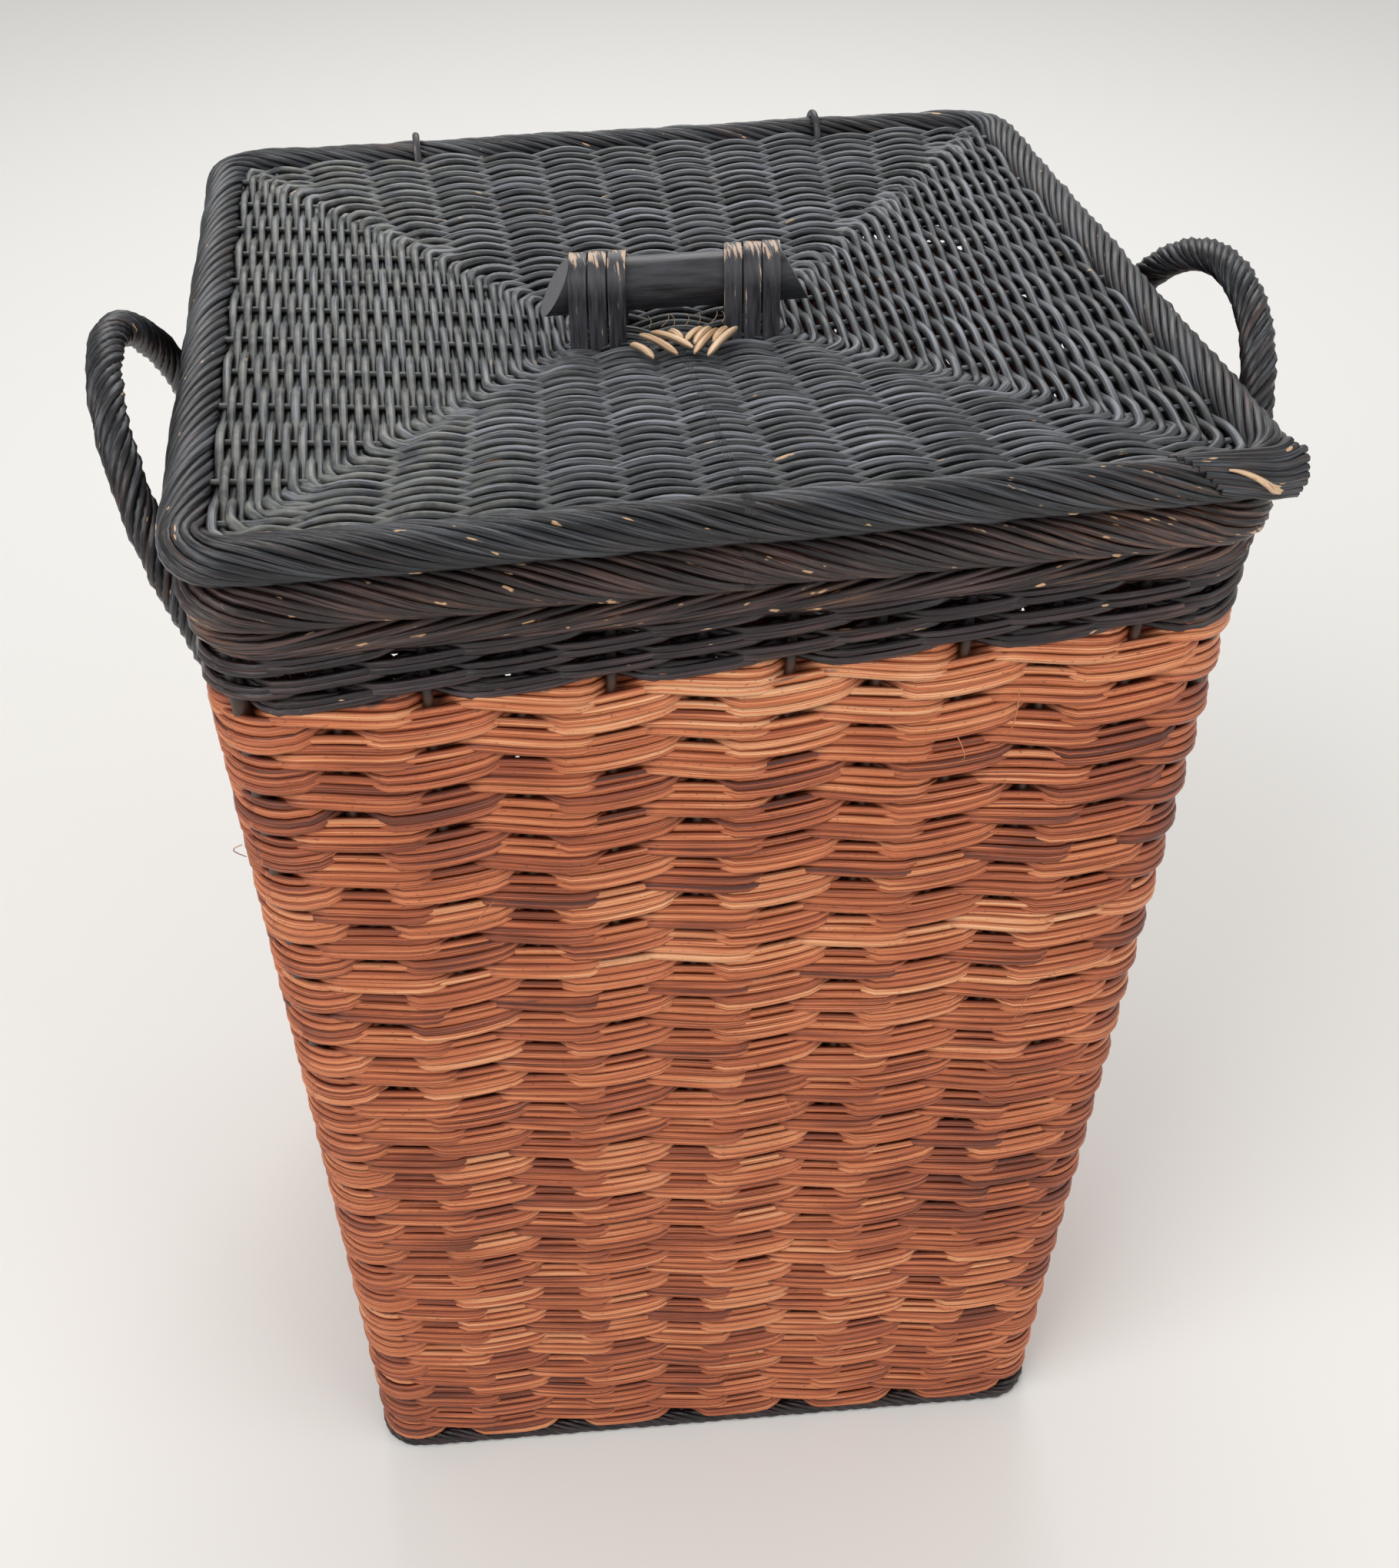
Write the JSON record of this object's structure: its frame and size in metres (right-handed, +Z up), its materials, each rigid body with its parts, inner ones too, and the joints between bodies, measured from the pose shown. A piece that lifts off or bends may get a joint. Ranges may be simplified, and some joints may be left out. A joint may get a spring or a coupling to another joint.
{
  "type": "laundry hamper",
  "caption": "Tall tapered square wicker laundry hamper with a hinged sunken lid, a bound dowel handle and rope-wrapped carrying hoops.",
  "frame": {"origin": "on the floor below the middle of the mouth, within 4 mm of the middle of the whole hamper", "axes": "+Z up, the front faces -Y, the lid hinges at the back (+Y), the carrying hoops stand out along X"},
  "size_m": [0.462, 0.3918, 0.5923],
  "materials": {
    "brown_cane": "varnished woven cane, satin",
    "black_cane": "black paint on woven cane, satin, worn at the edges",
    "bare_stake": "bare cane",
    "lid_cane": "black paint on woven cane, dusty satin",
    "black_wood": "black paint on turned wood, dusty satin"
  },
  "bodies": {
    "body": {"foot_border": "black_cane", "brown_weave": "brown_cane", "black_band": "black_cane", "follow_on_border": "black_cane", "top_border": "black_cane", "base_panel": "brown_cane", "base_stakes": "bare_stake", "front_stakes": "bare_stake", "back_stakes": "bare_stake", "left_stakes": "bare_stake", "right_stakes": "bare_stake", "corner_post_front_left": "bare_stake", "corner_post_front_right": "bare_stake", "corner_post_back_left": "bare_stake", "corner_post_back_right": "bare_stake", "left_hoop_core": "bare_stake", "left_hoop_wrap": "black_cane", "right_hoop_core": "bare_stake", "right_hoop_wrap": "black_cane", "hinge_loop_left": "black_cane", "hinge_loop_right": "black_cane"},
    "lid": {"lid_panel": "lid_cane", "lid_cross_stakes": "lid_cane", "lid_length_stakes": "lid_cane", "lid_border": "black_cane", "handle_dowel": "black_wood", "handle_binding_left": "black_cane", "handle_binding_right": "black_cane"}
  },
  "joints": [
    {"name": "lid_hinge", "type": "hinge", "parent": "body", "child": "lid", "pos_m": [0, 0.185, 0.5676], "axis": [-1, 0, 0], "range_deg": [0, 105]}
  ]
}
